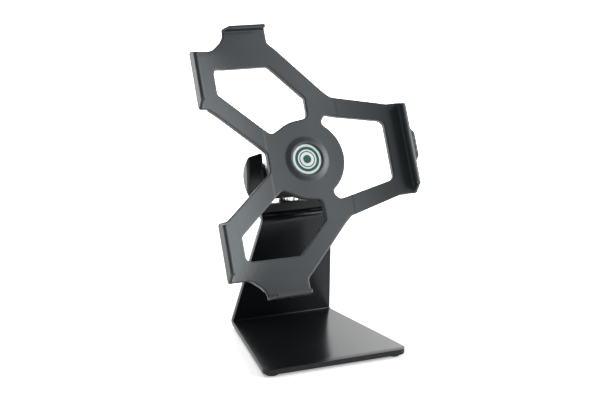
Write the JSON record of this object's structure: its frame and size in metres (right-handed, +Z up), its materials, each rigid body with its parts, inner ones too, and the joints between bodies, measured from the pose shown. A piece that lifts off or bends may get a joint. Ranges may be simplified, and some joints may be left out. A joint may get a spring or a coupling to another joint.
{
  "type": "tablet desk stand",
  "caption": "Desk stand with a bent steel foot, a pan and tilt joint with a wing knob, and a rotating clip-in cradle that holds a flat tablet.",
  "frame": {"origin": "on the desk surface, under the middle of the foot plate", "axes": "+Z up, -Y towards the front edge of the foot, +X to the right seen from the front"},
  "size_m": [0.2014, 0.138, 0.2983],
  "materials": {
    "powder_coat": "satin black powder coat",
    "foot_rubber": "soft black rubber",
    "black_steel": "blackened steel, satin",
    "zinc_plate": "zinc plated steel",
    "bright_chrome": "bright chrome plate",
    "fibre_disc": "pressed friction fibre",
    "knob_plastic": "fine-textured black moulding",
    "insert_brass": "turned brass",
    "nylon": "natural nylon",
    "spring_steel": "spring steel",
    "cradle_plastic": "dark grey fine-textured moulding",
    "badge_enamel": "white enamel with plain green rings"
  },
  "bodies": {
    "stand": {"stand_plate": "powder_coat", "rubber_feet": "foot_rubber", "spacer_bush": "black_steel", "pan_stud": "zinc_plate", "stop_pin": "black_steel"},
    "collar": {"lock_collar": "bright_chrome"},
    "joint_head": {"joint_block": "black_steel", "pan_grub": "black_steel"},
    "tilt_head": {"friction_discs": "fibre_disc", "tilt_bracket": "zinc_plate", "tilt_bolt": "zinc_plate", "bolt_cap": "knob_plastic", "knob_washer": "bright_chrome", "swivel_bolt": "zinc_plate", "swivel_disc": "nylon", "disc_spring": "spring_steel", "swivel_nut": "zinc_plate", "detent_cup": "insert_brass", "detent_spring": "spring_steel", "detent_ball": "bright_chrome"},
    "knob": {"wing_knob": "knob_plastic", "knob_insert": "insert_brass"},
    "holder": {"cradle": "cradle_plastic", "hub_plate": "zinc_plate", "hub_screws": "black_steel", "hub_badge": "badge_enamel"}
  },
  "joints": [
    {"name": "collar_turn", "type": "hinge", "parent": "stand", "child": "collar", "pos_m": [0, 0.042, 0.133], "axis": [0, 0, 1], "range_deg": [0, 180]},
    {"name": "head_pan", "type": "hinge", "parent": "stand", "child": "joint_head", "pos_m": [0, 0.042, 0.14], "axis": [0, 0, 1], "range_deg": [-30, 30]},
    {"name": "head_tilt", "type": "hinge", "parent": "joint_head", "child": "tilt_head", "pos_m": [0, 0.042, 0.157], "axis": [-1, 0, 0], "range_deg": [-20, 50]},
    {"name": "knob_turn", "type": "hinge", "parent": "tilt_head", "child": "knob", "pos_m": [-0.04, 0.042, 0.157], "axis": [-1, 0, 0], "range_deg": [0, 360]},
    {"name": "cradle_spin", "type": "hinge", "parent": "tilt_head", "child": "holder", "pos_m": [0, 0.00566, 0.17727], "axis": [0, -0.8965, 0.4431], "continuous": true}
  ]
}
